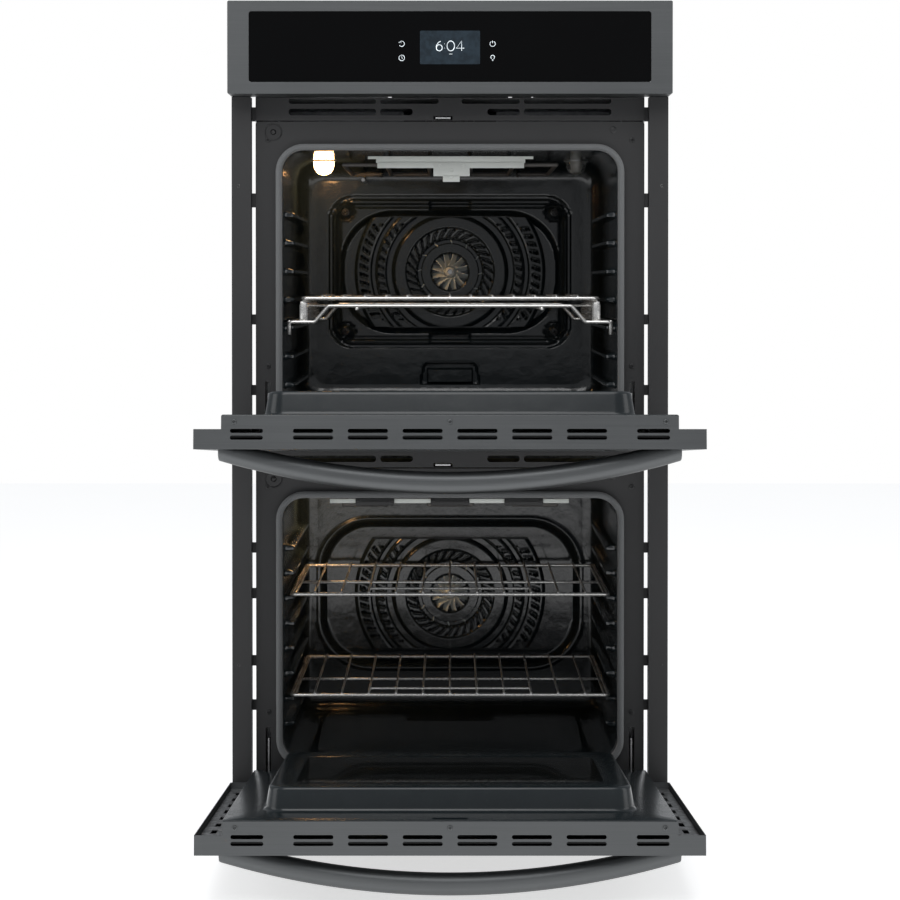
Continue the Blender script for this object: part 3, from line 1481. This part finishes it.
def arc(middle_x, middle_z, radius_x, radius_z, start, end, steps=24):
    """Places along an arc, with its angles in degrees."""
    turns = [math.radians(start + (end - start) * step / steps) for step in range(steps + 1)]
    return [(middle_x + radius_x * math.cos(turn), middle_z + radius_z * math.sin(turn))
            for turn in turns]


# Height of the clock's numerals and half the width of their lines, and the same of the marks.
NUMERAL_HEIGHT = 0.0152
NUMERAL_LINE = 0.00062
MARK_SIZE = 0.0048
MARK_LINE = 0.0004


class OVEN_OT_display(bpy.types.Operator):
    """Draws the clock and the four plain touch marks on the control panel"""
    bl_idname = "oven.display"
    bl_label = "Clock and marks"

    def execute(self, context):
        y = GLASS_FACE - 0.0001
        mid_z = (DISPLAY_LOW.z + DISPLAY_HIGH.z) / 2 + 0.0022
        tall = NUMERAL_HEIGHT
        line = NUMERAL_LINE
        bm = bmesh.new()
        six = (-0.0165, y, mid_z - tall / 2)
        stroke(bm, six, arc(0, 0.31, 0.30, 0.31, 0, 360), tall, line)
        stroke(bm, six, arc(0.34, 0.36, 0.64, 0.64, 178, 108, 12), tall, line)
        for up in (0.28, 0.72):
            stroke(bm, (-0.0083, y, mid_z - tall / 2), [(-0.02, up), (0.02, up)], tall, line * 1.3)
        stroke(bm, (0.0012, y, mid_z - tall / 2), arc(0, 0.5, 0.38, 0.5, 0, 360, 36), tall, line)
        four = (0.0155, y, mid_z - tall / 2)
        stroke(bm, four, [(0.16, 0.0), (0.16, 1.0), (-0.38, 0.27), (0.42, 0.27)], tall, line)
        stroke(bm, (0.0012, y, mid_z - tall * 0.82), [(-0.16, 0), (0.16, 0)], tall, line * 0.8)
        piece("clock_numerals", bm, "chassis", "display", finish="numerals")
        bm = bmesh.new()
        size = MARK_SIZE
        fine = MARK_LINE
        left, right = DISPLAY_LOW.x - 0.0281, DISPLAY_HIGH.x + 0.0195
        high, low = mid_z + 0.0033, mid_z - 0.0184
        marks = (
            (left, high, arc(0, 0, 0.85, 0.85, 120, -150)),
            (left, high, [(-0.95, 0.25), (-0.45, 0.75), (-0.15, 0.2)]),
            (left, low, arc(0, 0, 0.9, 0.9, 0, 360)),
            (left, low, [(0, 0.55), (0, 0), (0.4, -0.2)]),
            (right, high, arc(0, 0, 0.85, 0.85, 60, -240)),
            (right, high, [(0, 0.2), (0, 1.0)]),
            (right, low, arc(0, 0.25, 0.6, 0.6, -55, 235)),
            (right, low, [(-0.25, -0.55), (0.25, -0.55)]),
            (right, low, [(-0.18, -0.85), (0.18, -0.85)]),
        )
        for x, z, points in marks:
            stroke(bm, (x, y, z), points, size, fine)
        piece("touch_marks", bm, "chassis", "display", finish="numerals")
        return {"FINISHED"}


# ---------- stage ----------

def area_light(name, place, target, size, power, tint=(1.0, 1.0, 1.0)):
    """A soft square light turned towards a place."""
    light = bpy.data.lights.new(name, "AREA")
    light.shape = "RECTANGLE"
    light.size, light.size_y = size
    light.energy = power
    light.color = tint
    made = bpy.data.objects.new(name, light)
    made.location = place
    aim = Vector(target) - Vector(place)
    made.rotation_euler = aim.to_track_quat("-Z", "Y").to_euler()
    bpy.context.scene.collection.objects.link(made)


class OVEN_OT_stage(bpy.types.Operator):
    """Sets the pale floor, the soft lights and the camera"""
    bl_idname = "oven.stage"
    bl_label = "Stage"

    def execute(self, context):
        scene = context.scene
        stage = scene.oven_stage
        scene.view_settings.view_transform = "Standard"
        world = bpy.data.worlds.new("studio")
        world.use_nodes = True
        nodes = world.node_tree.nodes
        links = world.node_tree.links
        nodes.clear()
        seen = nodes.new("ShaderNodeLightPath")
        white = nodes.new("ShaderNodeBackground")
        white.inputs["Strength"].default_value = 1.0
        white.inputs["Color"].default_value = (1.0, 1.0, 1.0, 1.0)
        dim = nodes.new("ShaderNodeBackground")
        dim.inputs["Color"].default_value = (0.93, 0.96, 1.0, 1.0)
        dim.inputs["Strength"].default_value = 0.35
        mix = nodes.new("ShaderNodeMixShader")
        end = nodes.new("ShaderNodeOutputWorld")
        links.new(seen.outputs["Is Camera Ray"], mix.inputs[0])
        links.new(dim.outputs[0], mix.inputs[1])
        links.new(white.outputs[0], mix.inputs[2])
        links.new(mix.outputs[0], end.inputs["Surface"])
        scene.world = world
        bm = bmesh.new()
        bmesh.ops.create_grid(bm, x_segments=24, y_segments=24, size=6.0)
        mesh = bpy.data.meshes.new("floor")
        bm.to_mesh(mesh)
        bm.free()
        paper = Finish("floor")
        grain = paper.noise(3.0)
        mesh.materials.append(paper.surface({
            "Base Color": paper.blend(grain, (0.93, 0.93, 0.93), (0.96, 0.96, 0.96)),
            "Roughness": 0.9,
            "Emission Color": (1.0, 1.0, 1.0),
            "Emission Strength": 0.62,
        }))
        floor = bpy.data.objects.new("floor", mesh)
        floor.location = (0.0, 0.0, -0.0005)
        scene.collection.objects.link(floor)
        aim = (0.0, -0.3, 0.65)
        area_light("front_light", (-0.6, -4.4, 3.6), aim, (3.2, 1.8), stage.key)
        area_light("top_light", (0.0, -1.6, 3.4), aim, (2.4, 2.0), stage.top)
        area_light("left_light", (-3.2, -1.2, 1.5), aim, (1.6, 2.4), stage.top * 0.5)
        area_light("right_light", (3.2, -1.2, 1.5), aim, (1.6, 2.4), stage.top * 0.5)
        camera = bpy.data.cameras.new("camera")
        camera.lens = stage.lens
        camera.sensor_width = 36.0
        camera.shift_y = stage.rise
        eye = bpy.data.objects.new("camera", camera)
        eye.location = (0.0, -stage.distance, stage.eye)
        eye.rotation_euler = (math.pi / 2 - stage.tilt, 0.0, 0.0)
        scene.collection.objects.link(eye)
        scene.camera = eye
        return {"FINISHED"}


class OVEN_PT_panel(bpy.types.Panel):
    """Lists the operators in the order that they run"""
    bl_label = "Double wall oven"
    bl_idname = "OVEN_PT_panel"
    bl_space_type = "VIEW_3D"
    bl_region_type = "UI"
    bl_category = "Oven"

    def draw(self, context):
        for operator in OPERATORS:
            self.layout.operator(operator.bl_idname)


OPERATORS = (
    OVEN_OT_stage, OVEN_OT_finishes, OVEN_OT_sheets, OVEN_OT_cavities, OVEN_OT_fan_covers,
    OVEN_OT_fans, OVEN_OT_grills, OVEN_OT_lamps, OVEN_OT_seals, OVEN_OT_flat_racks,
    OVEN_OT_glide_rack, OVEN_OT_liners, OVEN_OT_handles, OVEN_OT_screws, OVEN_OT_display,
)
GROUPS = (OvenSizes, OvenColours, OvenStage)


def register():
    for group in GROUPS + OPERATORS + (OVEN_PT_panel,):
        bpy.utils.register_class(group)
    bpy.types.Scene.oven_sizes = PointerProperty(type=OvenSizes)
    bpy.types.Scene.oven_colours = PointerProperty(type=OvenColours)
    bpy.types.Scene.oven_stage = PointerProperty(type=OvenStage)


def unregister():
    del bpy.types.Scene.oven_stage
    del bpy.types.Scene.oven_colours
    del bpy.types.Scene.oven_sizes
    for group in reversed(GROUPS + OPERATORS + (OVEN_PT_panel,)):
        bpy.utils.unregister_class(group)


def main():
    """Makes the whole oven and notes the frame's box and the finished one."""
    register()
    for operator in OPERATORS:
        category, name = operator.bl_idname.split(".")
        getattr(getattr(bpy.ops, category), name)()


if __name__ == "__main__":
    main()
